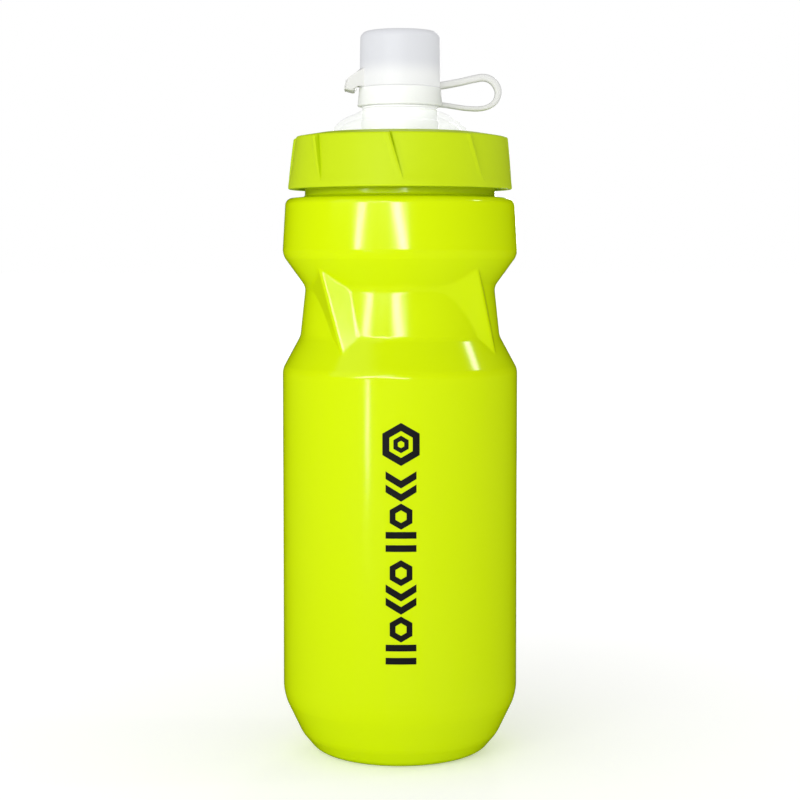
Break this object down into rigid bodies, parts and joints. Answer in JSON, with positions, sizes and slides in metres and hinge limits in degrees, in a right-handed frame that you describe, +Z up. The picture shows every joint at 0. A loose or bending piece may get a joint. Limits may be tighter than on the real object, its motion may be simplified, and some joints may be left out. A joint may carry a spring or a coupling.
{
  "type": "water bottle",
  "caption": "Squeeze bottle for a bicycle cage: ribbed waist, screw lid ring over a domed insert, and a push-pull spout under a tethered dust cap.",
  "frame": {"origin": "on the bottle's axis, in the plane that its foot stands on", "axes": "+Z up along the bottle's axis towards the dust cap; -Y is the printed front; the strap's loop lies towards +X"},
  "size_m": [0.0734, 0.0734, 0.2253],
  "materials": {
    "bottle_lime": "glossy blown polyethylene, bright lime",
    "lid_lime": "satin moulded plastic, bright lime",
    "clear_plastic": "clear, slightly milky moulded plastic",
    "milky_plastic": "translucent white, satin",
    "soft_white": "soft white silicone, matt",
    "white_plastic": "moulded white plastic",
    "seal_rubber": "pale grey rubber, matt",
    "ink": "black screen print"
  },
  "bodies": {
    "bottle": {"bottle_body": "bottle_lime"},
    "insert": {"dome_insert": "clear_plastic", "lid_gasket": "seal_rubber", "valve_post": "white_plastic"},
    "lid": {"lid_ring": "lid_lime"},
    "spout": {"spout_sleeve": "milky_plastic", "spout_seal": "seal_rubber", "mouthpiece": "soft_white"},
    "tether": {"tether_ring": "milky_plastic", "tether_strap": "milky_plastic"},
    "dust_cap": {"dust_cap": "milky_plastic"}
  },
  "joints": [
    {"name": "lid_lift", "type": "slide", "parent": "bottle", "child": "insert", "axis": [0, 0, 1], "range_m": [0, 0.0165]},
    {"name": "lid_turn", "type": "hinge", "parent": "insert", "child": "lid", "pos_m": [0, 0, 0.184], "axis": [0, 0, 1], "range_deg": [0, 1080]},
    {"name": "spout_pull", "type": "slide", "parent": "insert", "child": "spout", "axis": [0, 0, 1], "range_m": [0, 0.006]},
    {"name": "tether_swivel", "type": "hinge", "parent": "spout", "child": "tether", "pos_m": [0, 0, 0.205], "axis": [0, 0, 1], "continuous": true},
    {"name": "cap_pull", "type": "slide", "parent": "tether", "child": "dust_cap", "axis": [0, 0, 1], "range_m": [0, 0.016], "deforming": ["tether_strap"]}
  ],
  "couplings": [
    {"joint": "lid_lift", "follows": "lid_turn", "m_per_rad": 0.00087535}
  ]
}
